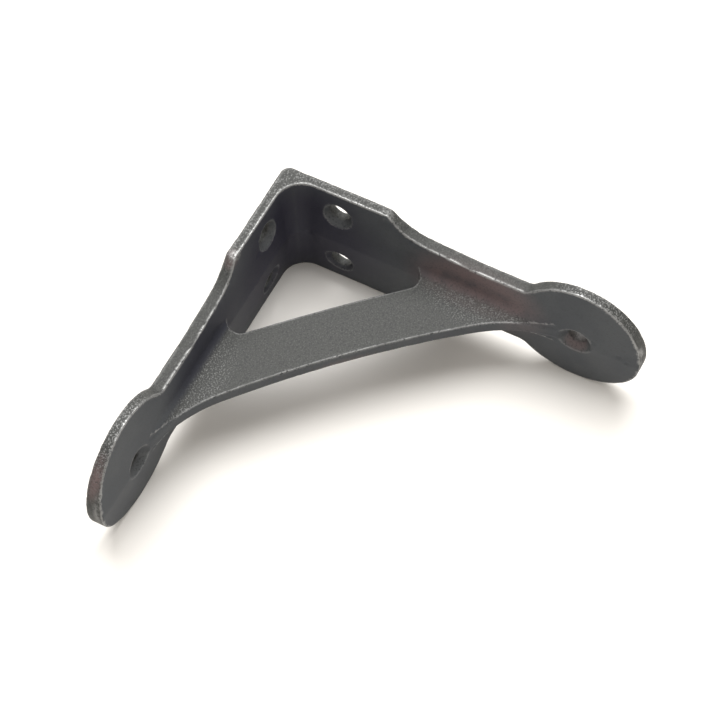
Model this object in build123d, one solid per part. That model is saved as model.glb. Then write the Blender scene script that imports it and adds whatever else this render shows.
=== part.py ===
from build123d import *
from math import radians, sqrt, tan
import os

# A cast shelf bracket in one piece, lying on its side. Seen from above it is an
# L of two equal arms with a web across the angle. Z runs across the strap.
# All sizes are in millimetres.

# Arms
arm_length = 121.1  # outer corner to the end of each arm
pad_radius = 21.1  # round pad at the end of an arm, with a screw hole at its centre
strap_width = 42.2  # width of the arm at the corner, where it is a plate
edge_thickness = 3.5  # thickness of the strap at its long edges
ridge_thickness = 5.7  # thickness along the middle, where the mould parted
outer_corner_radius = 3.0
inner_corner_radius = 8.0  # at the strap's edges; smaller on the ridge

# Outline of each arm, as distance from the outer corner and half width
shoulder_reach = 35.8  # where the straight edge of the plate ends
shoulder_radius = 2.0
shoulder_turn = 47.0  # degrees that the rounded shoulder turns inward
neck_reach = 45.6
neck_half_width = 15.1
shank_reach = 56.0
shank_half_width = 13.6
waist_run = 26.0  # pad centre to where the shank's sides become straight
waist_half_width = 12.75
throat_radius = 3.5  # fillet where the shank runs into the round pad

# Web across the angle
web_thickness = 4.4
web_outer_span = 83.8  # x + y at the middle of the web's hollow outer edge
web_outer_radius = 380.0
web_flare_run = 16.5  # length along the arm in which the outer edge dies out
window_span = 59.6  # x + y along the long side of the three-sided opening
window_bow = 0.5  # how far that side bows toward the corner
window_end_straight = 0.5  # straight part of the short sides, between their fillets
window_corner_radius = 3.2
web_root_radius = 3.5  # fillet where the web grows out of the arms

# Screw holes, countersunk from inside the angle
plate_hole_reach = 20.0
plate_hole_spacing = 24.4
plate_hole_radius = 3.2
plate_countersink_radius = 4.8
pad_hole_radius = 2.8
pad_countersink_radius = 5.6
countersink_angle = 90.0

cast_edge_radius = 0.4  # round on the rims of the inside faces, bevel on the web's

half_width = strap_width / 2
hole_reach = arm_length - pad_radius
mirror_plane = Plane((0, 0, 0), x_dir=(1, 1, 0), z_dir=(1, -1, 0))


def thickness_at(height):
    # The inside face is two drafted planes that meet on the mid-height ridge.
    draft = (ridge_thickness - edge_thickness) / half_width
    return ridge_thickness - draft * abs(height)


def angle_section(height):
    # L-shaped slice through both arms, parallel to the ground
    thick = thickness_at(height)
    corners = [
        (0, 0),
        (arm_length, 0),
        (arm_length, thick),
        (thick, thick),
        (thick, arm_length),
        (0, arm_length),
    ]
    section = make_face(Polyline(*corners, close=True))
    section = fillet(section.vertices().sort_by_distance((0, 0, 0))[0], outer_corner_radius)
    cove = inner_corner_radius - (thick - edge_thickness)
    inside = section.vertices().sort_by_distance((thick, thick, 0))[0]
    return Pos(0, 0, height) * fillet(inside, cove)


def arm_outline():
    # Plate, shoulder, waisted shank and round pad, drawn flat along +X
    plate_edge = Line((0, half_width), (shoulder_reach, half_width))
    shoulder = JernArc(plate_edge @ 1, (1, 0), shoulder_radius, -shoulder_turn)
    shank = Spline(
        shoulder @ 1,
        (neck_reach, neck_half_width),
        (shank_reach, shank_half_width),
        (hole_reach - waist_run, waist_half_width),
        tangents=(shoulder % 1, (1, 0)),
    )
    overlap = Line(shank @ 1, (hole_reach, waist_half_width))
    upper = Wire([plate_edge, shoulder, shank, overlap])
    lower = mirror(upper, about=Plane.XZ)
    near_end = Line(upper @ 0, lower @ 0)
    far_end = Line(upper @ 1, lower @ 1)
    strap = make_face([*upper.edges(), *lower.edges(), near_end, far_end])
    outline = strap + Pos(hole_reach, 0) * Circle(pad_radius)
    throat_reach = hole_reach - sqrt(pad_radius**2 - waist_half_width**2)
    throats = [(throat_reach, waist_half_width), (throat_reach, -waist_half_width)]
    return fillet([outline.vertices().sort_by_distance(point)[0] for point in throats], throat_radius)


def tee_section():
    # Section across one arm and the web, with the fillets at the web's roots
    side = [
        (edge_thickness, half_width),
        (thickness_at(web_thickness / 2), web_thickness / 2),
        (web_outer_span, web_thickness / 2),
    ]
    other_side = [(across, -height) for across, height in reversed(side)]
    corners = [(0, half_width), *side, *other_side, (0, -half_width)]
    section = make_face(Polyline(*corners, close=True))
    roots = [section.vertices().sort_by_distance(point)[0] for point in (side[1], other_side[1])]
    return fillet(roots, web_root_radius)


def web_plan():
    # The web seen from above, on strips that stay inside the arms
    buried = thickness_at(web_thickness / 2 + web_root_radius)
    arc_centre = web_outer_span / 2 + web_outer_radius / sqrt(2)
    outer_reach = arc_centre - sqrt(web_outer_radius**2 - (arc_centre - buried) ** 2)
    outer_middle = web_outer_span / 2
    window_end_height = buried + web_root_radius + window_end_straight
    window_end_height += window_corner_radius * tan(radians(22.5))
    window_reach = window_span - window_end_height
    window_middle = window_span / 2 - window_bow / sqrt(2)
    window_corner = (window_reach, window_end_height)
    other_corner = (window_end_height, window_reach)
    outer_side = ThreePointArc((buried, outer_reach), (outer_middle, outer_middle), (outer_reach, buried))
    window_side = ThreePointArc(window_corner, (window_middle, window_middle), other_corner)
    flare_end = outer_reach + web_flare_run
    strip_end = flare_end + 1
    strips = Polyline(
        (outer_reach, buried),
        (strip_end, buried),
        (strip_end, edge_thickness / 2),
        (edge_thickness / 2, edge_thickness / 2),
        (edge_thickness / 2, strip_end),
        (buried, strip_end),
        (buried, outer_reach),
    )
    window = Polyline(
        other_corner,
        (buried, window_reach),
        (buried, buried),
        (window_reach, buried),
        window_corner,
    )
    plan = make_face([outer_side, *strips.edges()]) - make_face([window_side, *window.edges()])
    # The flare is the arc that touches both the outer edge and the arm.
    flare_rise = 2 * (web_outer_radius - arc_centre + buried)
    flare_radius = web_flare_run * (2 * arc_centre - outer_reach - flare_end) / flare_rise
    ends = [(outer_reach, buried), (buried, outer_reach)]
    plan = fillet([plan.vertices().sort_by_distance(point)[0] for point in ends], flare_radius)
    corners = [window_corner, other_corner]
    plan = fillet([plan.vertices().sort_by_distance(point)[0] for point in corners], window_corner_radius)
    roots = [(window_reach, buried), (buried, window_reach)]
    return fillet([plan.vertices().sort_by_distance(point)[0] for point in roots], web_root_radius)


def screw_hole(hole_radius, countersink_radius, depth):
    # Cutter for a countersunk hole whose rim lies at this depth from the back
    slope = tan(radians(countersink_angle / 2))
    shank_end = depth - (countersink_radius - hole_radius) / slope
    profile = Polyline(
        (0, -1),
        (hole_radius, -1),
        (hole_radius, shank_end),
        (countersink_radius + slope, depth + 1),
        (0, depth + 1),
        close=True,
    )
    return revolve(Plane.XZ * make_face(profile), Axis.Z)


# Two arms: a drafted angle, trimmed to the outline of each arm
angle = loft([angle_section(height) for height in (-half_width, 0, half_width)], ruled=True)
trim_depth = 2 * (inner_corner_radius + ridge_thickness)
trim = extrude(Plane.YZ * arm_outline(), amount=trim_depth)
arms = angle & (trim + mirror(trim, about=mirror_plane))


def is_rim(edge):
    # The rims of the inside faces. The flat backs keep their crisp edges.
    middle = edge.position_at(0.5)
    on_back = min(middle.X, middle.Y) < 0.1 or middle.X + middle.Y < 2 * outer_corner_radius
    across = edge.geom_type == GeomType.LINE and edge.length < ridge_thickness + 0.1
    upright = abs(edge.tangent_at(0.5).Z) > 0.9
    return abs(middle.Z) > 0.1 and not on_back and not across and not upright


arms = fillet(arms.edges().filter_by(is_rim), cast_edge_radius)

# Web: a plate with narrow bevels, which mesh far lighter than rounds, and roots
# that stand back from its rims by as much.
# A root is what a T-section along the arm shares with the web seen from above.
plan = web_plan()
plate = extrude(plan, amount=web_thickness / 2, both=True)
rims = plate.edges().filter_by(lambda edge: abs(edge.position_at(0.5).Z) > web_thickness / 2 - 0.01)
plate = chamfer(rims, cast_edge_radius)
below_diagonal = make_face(Polyline((0, 0), (arm_length, 0), (arm_length, arm_length), close=True))
root_plan = offset(plan, -cast_edge_radius) & below_diagonal
root = extrude(Plane.YZ * tee_section(), amount=arm_length)
root = root & extrude(root_plan, amount=web_thickness / 2 + web_root_radius, both=True)
bracket = arms + root
bracket += mirror(root, about=mirror_plane)
bracket += plate
print("faces", len(bracket.faces()))

# Two screw holes in each plate and one in each pad
plate_hole_height = plate_hole_spacing / 2
plate_cutter = screw_hole(plate_hole_radius, plate_countersink_radius, thickness_at(plate_hole_height))
pad_cutter = screw_hole(pad_hole_radius, pad_countersink_radius, ridge_thickness)
for height in (-plate_hole_height, plate_hole_height):
    cutter = Plane((0, plate_hole_reach, height), z_dir=(1, 0, 0)) * plate_cutter
    bracket -= [cutter, mirror(cutter, about=mirror_plane)]
cutter = Plane((0, hole_reach, 0), z_dir=(1, 0, 0)) * pad_cutter
bracket -= [cutter, mirror(cutter, about=mirror_plane)]

# The origin is on the ground, under the middle of the bracket's square footprint.
bracket = Pos(-arm_length / 2, -arm_length / 2, half_width) * bracket
bracket.label = "bracket"

os.makedirs("parts", exist_ok=True)
export_step(bracket, "parts/bracket.step")
print("valid", bracket.is_valid, "solids", len(bracket.solids()), "volume", round(bracket.volume))
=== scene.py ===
import bmesh
import bpy
import numpy as np
from mathutils import Euler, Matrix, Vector


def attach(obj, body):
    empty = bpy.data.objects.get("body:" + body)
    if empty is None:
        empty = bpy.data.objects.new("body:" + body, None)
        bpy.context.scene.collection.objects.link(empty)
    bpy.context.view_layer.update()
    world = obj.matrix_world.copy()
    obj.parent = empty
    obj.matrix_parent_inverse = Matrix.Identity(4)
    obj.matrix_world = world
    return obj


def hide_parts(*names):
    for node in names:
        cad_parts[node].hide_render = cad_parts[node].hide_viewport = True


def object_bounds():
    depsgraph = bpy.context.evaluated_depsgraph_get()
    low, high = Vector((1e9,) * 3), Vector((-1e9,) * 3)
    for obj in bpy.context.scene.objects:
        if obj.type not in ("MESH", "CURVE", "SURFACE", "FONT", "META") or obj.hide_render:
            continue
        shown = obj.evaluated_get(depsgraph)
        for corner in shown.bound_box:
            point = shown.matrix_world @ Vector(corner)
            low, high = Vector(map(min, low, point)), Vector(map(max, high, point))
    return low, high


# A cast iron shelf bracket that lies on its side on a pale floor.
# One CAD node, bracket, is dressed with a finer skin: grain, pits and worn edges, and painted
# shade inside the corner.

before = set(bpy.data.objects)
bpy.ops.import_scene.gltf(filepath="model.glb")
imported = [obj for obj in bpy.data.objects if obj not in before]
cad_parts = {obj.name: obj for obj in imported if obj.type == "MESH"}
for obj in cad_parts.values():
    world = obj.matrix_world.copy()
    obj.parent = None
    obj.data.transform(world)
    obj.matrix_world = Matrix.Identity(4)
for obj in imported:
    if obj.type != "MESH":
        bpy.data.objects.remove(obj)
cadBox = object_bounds()
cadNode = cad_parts["bracket"]
print("frame loaded")


# Noise on points, all in numpy

def hashed(cell, seed):
    # one repeatable value from 0 to 1 for each lattice cell; the large numbers only stir the bits
    n = cell[..., 0] * 73856093 ^ cell[..., 1] * 19349663 ^ cell[..., 2] * 83492791
    n = n ^ seed * 2971215073
    n = (n ^ (n >> 13)) * 1274126177 & 0xFFFFFFFF
    n = (n ^ (n >> 15)) * 2246822519 & 0xFFFFFFFF
    return ((n ^ (n >> 16)) & 0xFFFFFF) / 0xFFFFFF


def cellNoise(points, size, seed):
    # smooth noise from 0 to 1: the eight corners of each cell, blended by 3t^2 - 2t^3
    scaled = points / size
    cell = np.floor(scaled).astype(np.int64)
    t = scaled - cell
    t = t * t * (3 - 2 * t)
    total = np.zeros(len(points))
    for corner in range(8):
        step = np.array([corner & 1, corner >> 1 & 1, corner >> 2 & 1])
        weight = np.prod(np.where(step == 1, t, 1 - t), axis=1)
        total += weight * hashed(cell + step, seed)
    return total


def layeredNoise(points, size, seed, layers=3):
    # each layer is half the size and half the strength of the one before
    layerShift = 0.37  # in cells, so that the layers' lattices don't line up
    total = np.zeros(len(points))
    weight = 0.0
    for layer in range(layers):
        share = 0.5 ** layer
        total += share * cellNoise(points + layerShift * layer * size, size * share, seed + layer)
        weight += share
    return total / weight


def ramp(value, low, high):
    # 0 below low, 1 above high, and smooth between
    t = np.clip((value - low) / (high - low), 0, 1)
    return t * t * (3 - 2 * t)


def fall(value, low, high):
    # 1 below low, 0 above high, and smooth between
    return ramp(-value, -high, -low)


# Work on meshes

def mergedCopy(node, name):
    # a CAD node's mesh is loose triangles, so its copy is merged first
    mergeDistance = 1e-6
    mesh = bpy.data.meshes.new(name)
    shape = bmesh.new()
    shape.from_mesh(node.data)
    bmesh.ops.remove_doubles(shape, verts=shape.verts, dist=mergeDistance)
    shape.to_mesh(mesh)
    shape.free()
    copy = bpy.data.objects.new(name, mesh)
    bpy.context.scene.collection.objects.link(copy)
    return copy


def laidOnto(mesh, source, voxel=0):
    # moves every point to the nearest place on the source's surface, after an even remesh
    # where a voxel size is given
    net = bpy.data.objects.new("net", mesh)
    bpy.context.scene.collection.objects.link(net)
    if voxel:
        remesh = net.modifiers.new("remesh", "REMESH")
        remesh.mode = "VOXEL"
        remesh.voxel_size = voxel
    wrap = net.modifiers.new("wrap", "SHRINKWRAP")
    wrap.wrap_method = "NEAREST_SURFACEPOINT"
    wrap.target = source
    view = bpy.context.evaluated_depsgraph_get()
    laid = bpy.data.meshes.new_from_object(net.evaluated_get(view))
    bpy.data.objects.remove(net)
    return laid


def readPoints(mesh):
    points = np.empty(len(mesh.vertices) * 3)
    mesh.vertices.foreach_get("co", points)
    return points.reshape(-1, 3)


def readNormals(mesh):
    normals = np.empty(len(mesh.vertices) * 3)
    mesh.vertex_normals.foreach_get("vector", normals)
    return normals.reshape(-1, 3)


def readEdges(mesh):
    edges = np.empty(len(mesh.edges) * 2, dtype=np.int64)
    mesh.edges.foreach_get("vertices", edges)
    return edges.reshape(-1, 2)


def neighbourMean(points, edges):
    # the mean of each vertex's neighbours, found along the edges
    count = len(points)
    a, b = edges[:, 0], edges[:, 1]
    degree = np.bincount(a, minlength=count) + np.bincount(b, minlength=count)
    total = np.stack([
        np.bincount(a, column[b], count) + np.bincount(b, column[a], count)
        for column in points.T
    ], axis=1)
    return total / np.maximum(degree, 1)[:, None]


def convexity(mesh, passes):
    # how far each vertex stands out of its smoothed surroundings, along its normal
    points = readPoints(mesh)
    edges = readEdges(mesh)
    smooth = points
    for _ in range(passes):
        smooth = neighbourMean(smooth, edges)
    return np.sum((points - smooth) * readNormals(mesh), axis=1)


def finerWhere(mesh, chosen):
    # halves the faces around the chosen points
    shape = bmesh.new()
    shape.from_mesh(mesh)
    shape.edges.ensure_lookup_table()
    ends = readEdges(mesh)
    chosenEdges = np.flatnonzero(chosen[ends[:, 0]] & chosen[ends[:, 1]])
    cutEdges = [shape.edges[i] for i in chosenEdges]
    bmesh.ops.subdivide_edges(shape, edges=cutEdges, cuts=1, use_grid_fill=True)
    shape.to_mesh(mesh)
    shape.free()


def setAttribute(mesh, name, values):
    attribute = mesh.attributes.new(name, "FLOAT", "POINT")
    attribute.data.foreach_set("value", values.astype(np.float32))


# The skin of the casting. The net, the depths, the noise sizes and the bend of the rims are
# in metres. Everything else with a length is in millimetres from the outer corner at mid
# height. A pair is (low, high), and a mask fades between the two. A spot is (middle, radii,
# strength).
skin = {
    "voxel": 0.00064,
    "waveDepth": 0.00015,
    "waveSize": 0.012,
    "grainDepth": 0.00008,
    "grainSize": 0.0015,
    "smoothGrain": 0.25,  # grain of the smooth faces, as a share of the rough faces' grain
    "chipDepth": 0.00011,
    "chipSize": 0.0045,
    "chipNoise": (0.45, 0.75),
    "poreDepth": 0.0002,
    "poreSize": 0.0016,
    "poreNoise": (0.8, 0.97),
    "pitDepth": 0.0004,
    "rimBend": (0.00003, 0.0001),
    "facing": (0.3, 0.85),  # how squarely a face looks across the strap's thickness
    "backInset": (0.8, 1.6),
    "backRough": 0.5,
    "ridgeHeight": (1.5, 2.5),
    "webHeight": (3, 4),
    "webInset": (5.5, 7),
    "spotFade": (0.4, 1),  # as a share of a spot's radii
    "evenWear": 0.72,  # wear of the rims that doesn't vary; noise gives the rest
    "wearSize": 0.005,
    "wearNoise": (0.3, 0.6),
    "backWearLoss": 0.6,
    "webWearLoss": 0.25,
    "holeWearLoss": 0.85,
    "bowl": (0.42, 0.6),
    "bowlSlope": (0.08, 0.3),
    # partly painted highlight: the countersinks' lightening and its gain for the upper ones
    "bowlWearAndHighlight": 0.12,
    "upperBowlHighlight": 0.35,
    "upperBowlHeight": (0, 10),
    "polishWear": 0.7,
    "polishSize": 0.0016,
    "polishNoise": (0.35, 0.6),
    "plainGlitter": 0.2,
    "rustSize": 0.0035,
    "rustNoise": (-0.25, 0.6),
    "backRustLoss": 0.4,
    "wallArmRustLoss": 0.75,
    "padMiddle": 100,
    # where the painted shade keeps out of the upper holes
    "shadeFreeHoleEdge": (0.6, 0.75),
    "shadeFreeHoleHeight": (-12, 2),
    "holes": [((4, 100, 0), (9, 9, 9), 1), ((100, 4, 0), (9, 9, 9), 1),
              ((4, 20, 12), (8, 8, 8), 1), ((4, 20, -12), (8, 8, 8), 1),
              ((20, 4, 12), (8, 8, 8), 1), ((20, 4, -12), (8, 8, 8), 1)],
    "pits": [((5, 105.6, 3.2), (2, 1.3, 1.3), 0.7), ((5, 114.3, 1.5), (2, 1.2, 0.9), 0.8),
             ((5, 117.0, 0.2), (2, 1.1, 0.8), 0.9), ((5, 10.5, -0.8), (3, 1.6, 1.4), 0.8),
             ((26.3, 5, 10.3), (1.2, 2, 1.2), 0.6), ((5, 44.9, 14.2), (2, 1, 1), 0.7),
             ((3.4, 119.9, 2.5), (2, 1.6, 2.2), 0.9), ((36.2, 3.4, 21), (2.2, 1.6, 1.2), 0.7),
             ((3.4, 36.4, 21), (1.6, 2.0, 1.2), 0.7)],
    "polish": [((36.0, 3, 21), (3.5, 2.5, 3), 1), ((3, 36.4, 21), (2.5, 3.5, 3), 1),
               ((3.6, 119.9, 4), (2, 3, 5), 1), ((119, 3.4, 0), (4, 1.5, 11), 0.8)],
    "glitter": [((103, 2, 18), (20, 7, 12), 1), ((2, 106, 18), (7, 18, 14), 1),
                ((72, 9, 2), (26, 9, 5), 0.42), ((9, 70, 2), (9, 24, 5), 0.4),
                ((22, 2, 21), (38, 7, 5), 0.5), ((2, 22, 21), (7, 38, 5), 0.5),
                ((103, 2, -18), (20, 7, 12), 0.6), ((2, 106, -18), (7, 18, 14), 0.6)],
    "rust": [((5, 67, 3), (8, 27, 18), 1.0), ((4, 80, 5), (5, 8, 8), 0.6),
             ((114, 1.5, 11), (10, 4, 10), 1.0), ((2.2, 100, -3), (4.5, 6, 4.5), 1.0),
             ((38, 2, 21), (5, 5, 4), 0.6), ((1, 70, -9), (6, 22, 8), 0.6),
             ((62, 1, -10), (20, 5, 9), 0.5), ((42, 42, -3), (14, 14, 4), 0.45)],
    # painted shade: dark spots inside the corner and along the shelf arm's inner face
    "paintedShade": [((12, 8, 0), (44, 38, 30), 1.0), ((56, 4, 4), (34, 7, 16), 0.6)],
}


def patches(place, spots):
    # the strongest of many soft ellipsoids, each full near its middle and 0 at its radii
    total = np.zeros(len(place))
    for centre, radii, strength in spots:
        away = np.linalg.norm((place - np.array(centre)) / np.array(radii), axis=1)
        total = np.maximum(total, strength * fall(away, *skin["spotFade"]))
    return total


def finishAndShadeMasks(points, place, normals, bend):
    # a mask is 0 at points without its finish and about 1 where the finish is full, and
    # paintedShade is painted shade; the iron material reads all of them but rim
    onShelfArm = place[:, 0] > place[:, 1]
    inset = np.minimum(place[:, 0], place[:, 1])
    height = np.abs(place[:, 2])
    nearHole = patches(place, skin["holes"])

    # The faces across the strap and the web's faces are rough, the flat backs half as much,
    # and the straps' inner faces are smooth.
    facing = np.abs(np.where(onShelfArm, normals[:, 1], normals[:, 0]))
    back = fall(inset, *skin["backInset"])
    rough = np.maximum(1 - ramp(facing, *skin["facing"]), skin["backRough"] * back)

    # Rims are worn bare, less so on the backs and the web, and hardly at the holes.
    ridge = fall(height, *skin["ridgeHeight"]) * (1 - rough)
    rim = ramp(bend, *skin["rimBend"]) * (1 - ridge)
    onWeb = fall(height, *skin["webHeight"]) * ramp(inset, *skin["webInset"])
    uneven = ramp(layeredNoise(points, skin["wearSize"], 31), *skin["wearNoise"])
    wear = rim * (skin["evenWear"] + (1 - skin["evenWear"]) * uneven)
    wear = wear * (1 - skin["backWearLoss"] * back) * (1 - skin["webWearLoss"] * onWeb)
    wear = wear * (1 - skin["holeWearLoss"] * nearHole)

    # The countersinks are lightened where they slope up or down, most of all the upper ones:
    # partly bare metal, partly painted highlight.
    bowl = ramp(nearHole, *skin["bowl"]) * (1 - rough)
    bowl = bowl * ramp(np.abs(normals[:, 2]), *skin["bowlSlope"])
    upper = ramp(place[:, 2], *skin["upperBowlHeight"])
    wear = wear + skin["bowlWearAndHighlight"] * bowl * (1 + skin["upperBowlHighlight"] * upper)
    polish = ramp(layeredNoise(points, skin["polishSize"], 37), *skin["polishNoise"])
    wear = wear + skin["polishWear"] * patches(place, skin["polish"]) * polish

    # Rust stays off the smooth face at the end of the shelf arm's pad, and is fainter on
    # the backs and on the rough faces of the wall arm.
    rust = patches(place, skin["rust"])
    rust = rust * ramp(layeredNoise(points, skin["rustSize"], 41), *skin["rustNoise"])
    rust = rust * np.where(place[:, 0] > skin["padMiddle"], rough, 1)
    rust = rust * np.where(onShelfArm, 1, 1 - skin["wallArmRustLoss"] * rough)
    rust = rust * (1 - skin["backRustLoss"] * back)

    # Painted shade darkens the smooth inner faces inside the corner and reaches into the lower
    # holes alone.
    paintedShade = patches(place, skin["paintedShade"]) * (1 - rough) * (1 - back)
    upperHole = ramp(nearHole, *skin["shadeFreeHoleEdge"])
    upperHole = upperHole * ramp(place[:, 2], *skin["shadeFreeHoleHeight"])
    paintedShade = paintedShade * (1 - upperHole)

    return {
        "rim": rim,
        "wear": np.clip(wear, 0, 1),
        "glitter": rough * (skin["plainGlitter"] + patches(place, skin["glitter"])),
        "rust": rust,
        "paintedShade": paintedShade,
        "rough": rough,
    }


def cutDepth(points, place, rough, rim):
    # waves, grain, chips on the rims, pores on the rough faces, and the single pits
    plain = skin["smoothGrain"]
    depth = skin["waveDepth"] * layeredNoise(points, skin["waveSize"], 11, 2)
    grain = layeredNoise(points, skin["grainSize"], 23, 2) * (plain + (1 - plain) * rough)
    chips = rim * ramp(layeredNoise(points, skin["chipSize"], 53), *skin["chipNoise"])
    pores = rough * ramp(cellNoise(points, skin["poreSize"], 67), *skin["poreNoise"])
    depth = depth + skin["grainDepth"] * grain + skin["chipDepth"] * chips
    return depth + skin["poreDepth"] * pores + skin["pitDepth"] * patches(place, skin["pits"])


def makeBracket():
    # an even net of small faces, finer at the rims, is laid onto the CAD surface and cut
    # inwards, so the skin stays inside the CAD model's box
    source = mergedCopy(cadNode, "cadCopy")
    mesh = laidOnto(source.data.copy(), source, skin["voxel"])
    finerWhere(mesh, convexity(mesh, 2) > skin["rimBend"][0])
    mesh = laidOnto(mesh, source)
    bpy.data.objects.remove(source)
    print("skin", len(mesh.vertices), "points", len(mesh.polygons), "faces")

    points = readPoints(mesh)
    normals = readNormals(mesh)
    midHeight = (cadBox[0][2] + cadBox[1][2]) / 2
    outerCorner = np.array([cadBox[0][0], cadBox[0][1], midHeight])
    place = (points - outerCorner) * 1000  # millimetres
    masks = finishAndShadeMasks(points, place, normals, convexity(mesh, 4))
    rim = masks.pop("rim")
    points = points - normals * cutDepth(points, place, masks["rough"], rim)[:, None]
    mesh.vertices.foreach_set("co", points.astype(np.float32).ravel())
    mesh.polygons.foreach_set("use_smooth", np.ones(len(mesh.polygons), dtype=bool))
    for name, values in masks.items():
        setAttribute(mesh, name, values)
    mesh.update()

    bracket = bpy.data.objects.new("bracketSkin", mesh)
    bpy.context.scene.collection.objects.link(bracket)
    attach(bracket, "root")
    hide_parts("bracket")
    return bracket


bracket = makeBracket()
print("bracket made")


# Materials

class Value:
    # wraps a node's output, so that shader maths reads as an expression
    def __init__(self, tree, link=None):
        self.tree = tree
        self.link = link

    def node(self, kind, settings, sockets, output=0):
        made = self.tree.nodes.new(kind)
        for name, value in settings.items():
            setattr(made, name, value)
        plug(self.tree, made, sockets)
        return Value(self.tree, made.outputs[output])

    def maths(self, operation, first, second):
        return self.node("ShaderNodeMath", {"operation": operation}, {0: first, 1: second})

    def __add__(self, other):
        return self.maths("ADD", self, other)

    def __mul__(self, other):
        return self.maths("MULTIPLY", self, other)

    def __sub__(self, other):
        return self.maths("SUBTRACT", self, other)

    def __rsub__(self, other):
        return self.maths("SUBTRACT", other, self)

    __radd__ = __add__
    __rmul__ = __mul__

    def between(self, low, high):
        # 0 at low and 1 at high
        steps = {"interpolation_type": "SMOOTHSTEP"}
        return self.node("ShaderNodeMapRange", steps, {0: self, 1: low, 2: high})

    def mixed(self, a, b):
        # colour a where this value is 0, and colour b where it is 1
        # sockets 6 and 7 take the two colours, and output 2 gives the mixed one
        return self.node("ShaderNodeMix", {"data_type": "RGBA"}, {0: self, 6: a, 7: b}, output=2)


def plug(tree, node, sockets):
    # gives each named socket a link or a constant
    for name, value in sockets.items():
        if isinstance(value, Value):
            tree.links.new(value.link, node.inputs[name])
        else:
            node.inputs[name].default_value = value


def newMaterial(name):
    material = bpy.data.materials.new(name)
    material.use_nodes = True
    return material, material.node_tree.nodes["Principled BSDF"], material.node_tree


# Values that change the iron's look. Scales are in noise cells per metre, and the depth of
# the bumps is in metres. A share is how much of a colour shows where its mask is full, and
# a range is where a mask's noise fades in.
iron = {
    "dull": (0.047, 0.052, 0.059, 1),
    "light": (0.058, 0.063, 0.069, 1),
    "crust": (0.040, 0.041, 0.037, 1),
    # painted shade for the corner and the lower holes, a dark blue-purple
    "paintedShade": (0.0160, 0.0148, 0.0295, 1),
    "bare": (0.34, 0.34, 0.335, 1),
    "dark": (0.022, 0.022, 0.023, 1),
    "rust": (0.165, 0.116, 0.114, 1),
    "broadScale": 70.0,
    "grainScale": 1500.0,
    "speckScale": 2200.0,
    "broadRange": (0.35, 0.65),
    "poreRange": (0.5, 0.34),
    "rustRange": (0.05, 0.55),
    "glintRange": (0.48, 0.7),
    "wornRange": (0.25, 0.5),
    "crustShare": 0.9,
    "paintedShadeShare": 0.9,
    "roughPores": 0.52,
    "smoothPores": 0.2,
    "rustShare": 0.75,
    "glintShare": 0.45,
    "wornShare": 0.75,
    "metallic": 0.1,
    "bareMetallic": 0.8,
    "roughness": 0.62,
    "bareShine": 0.25,
    "grainRoughness": 0.1,
    "specular": 0.35,
    "bumpDepth": 0.00012,
    "bumpStrength": 0.6,
    "roughBumps": 0.7,
    "smoothBumps": 0.3,
    "speckBumps": 0.4,
}


def ironMaterial():
    material, shader, tree = newMaterial("blackIron")
    start = Value(tree)
    where = start.node("ShaderNodeTexCoord", {}, {}, output=3)  # Object coordinates

    def mask(name):
        # output 2 is the attribute as a number
        return start.node("ShaderNodeAttribute", {"attribute_name": name}, {}, output=2)

    def noise(scale, detail):
        sockets = {"Vector": where, "Scale": scale, "Detail": detail}
        return start.node("ShaderNodeTexNoise", {}, sockets)

    broad = noise(iron["broadScale"], 4.0)
    grain = noise(iron["grainScale"], 2.0)
    speck = noise(iron["speckScale"], 1.0)
    tone = broad.between(*iron["broadRange"]).mixed(iron["dull"], iron["light"])
    tone = (mask("rough") * iron["crustShare"]).mixed(tone, iron["crust"])
    # painted shade darkens the corner's smooth inner faces and the lower holes
    tone = (mask("paintedShade") * iron["paintedShadeShare"]).mixed(tone, iron["paintedShade"])
    poreShare = mask("rough") * iron["roughPores"] + iron["smoothPores"]
    tone = (grain.between(*iron["poreRange"]) * poreShare).mixed(tone, iron["dark"])
    rust = mask("rust") * grain.between(*iron["rustRange"])
    tone = (rust * iron["rustShare"]).mixed(tone, iron["rust"])
    glint = speck.between(*iron["glintRange"]) * mask("glitter")
    # the wear mask also carries the painted highlight in the countersinks, strongest in the upper
    # ones
    worn = mask("wear") * grain.between(*iron["wornRange"])
    bare = glint * iron["glintShare"] + worn * iron["wornShare"]
    tone = bare.mixed(tone, iron["bare"])
    roughness = iron["roughness"] - iron["bareShine"] * bare
    roughness = roughness + iron["grainRoughness"] * (grain - 0.5)
    height = grain + iron["speckBumps"] * speck
    height = height * (mask("rough") * iron["roughBumps"] + iron["smoothBumps"])
    bumps = start.node("ShaderNodeBump", {}, {
        "Strength": iron["bumpStrength"],
        "Distance": iron["bumpDepth"],
        "Height": height,
    })
    plug(tree, shader, {
        "Base Color": tone,
        "Metallic": bare * iron["bareMetallic"] + iron["metallic"],
        "Roughness": roughness,
        "Specular IOR Level": iron["specular"],
        "Normal": bumps,
    })
    return material


bracket.data.materials.clear()
bracket.data.materials.append(ironMaterial())
print("materials made")


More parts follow.
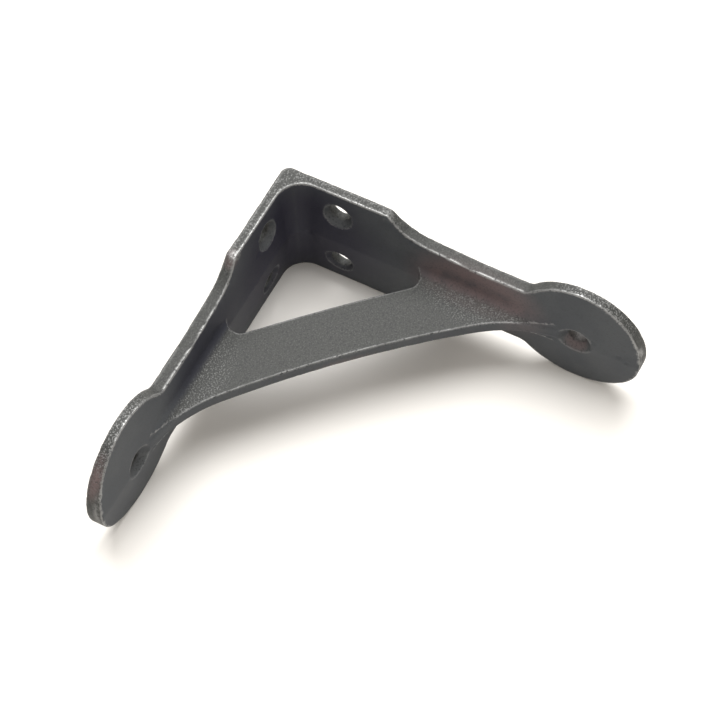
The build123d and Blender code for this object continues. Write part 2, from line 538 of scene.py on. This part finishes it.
# Floor, light and camera. The window light and the camera stand where the photograph's do.
studio = {
    "floorSize": 3.0,
    "floorColour": (0.86, 0.835, 0.795, 1),
    "floorRoughness": 0.8,
    "skyColour": (1.0, 0.965, 0.92, 1),
    "skyStrength": 0.64,
    "windowPlace": (-0.33, -0.18, 0.835),
    "windowSize": (0.85, 0.85),
    "windowPower": 13.6,
    "cameraPlace": (0.310617, 0.170183, 0.624033),
    "cameraTurn": (0.561041, 0.017059, 2.052445),
    "cameraLens": 120.0,
    "cameraSensor": 36.0,
}


def makeFloor():
    half = studio["floorSize"] / 2
    corners = [(-half, -half, 0), (half, -half, 0), (half, half, 0), (-half, half, 0)]
    mesh = bpy.data.meshes.new("floor")
    mesh.from_pydata(corners, [], [(0, 1, 2, 3)])
    floor = bpy.data.objects.new("floor", mesh)
    bpy.context.scene.collection.objects.link(floor)
    material, shader, tree = newMaterial("paleFloor")
    plug(tree, shader, {
        "Base Color": studio["floorColour"],
        "Roughness": studio["floorRoughness"],
    })
    mesh.materials.append(material)


def makeWindow():
    # one large soft light that faces the middle of the floor
    lamp = bpy.data.lights.new("window", "AREA")
    lamp.shape = "RECTANGLE"
    lamp.size, lamp.size_y = studio["windowSize"]
    lamp.energy = studio["windowPower"]
    window = bpy.data.objects.new("window", lamp)
    window.location = studio["windowPlace"]
    window.rotation_euler = Vector(studio["windowPlace"]).to_track_quat("Z", "Y").to_euler()
    bpy.context.scene.collection.objects.link(window)


def makeSky():
    world = bpy.data.worlds.new("studio")
    world.use_nodes = True
    plug(world.node_tree, world.node_tree.nodes["Background"], {
        "Color": studio["skyColour"],
        "Strength": studio["skyStrength"],
    })
    bpy.context.scene.world = world


def makeCamera():
    lens = bpy.data.cameras.new("camera")
    lens.lens = studio["cameraLens"]
    lens.sensor_width = studio["cameraSensor"]
    camera = bpy.data.objects.new("camera", lens)
    camera.location = studio["cameraPlace"]
    camera.rotation_euler = Euler(studio["cameraTurn"], "XYZ")
    bpy.context.scene.collection.objects.link(camera)
    bpy.context.scene.camera = camera


makeFloor()
makeWindow()
makeSky()
makeCamera()
bpy.context.scene.view_settings.view_transform = "Standard"
print("studio made")
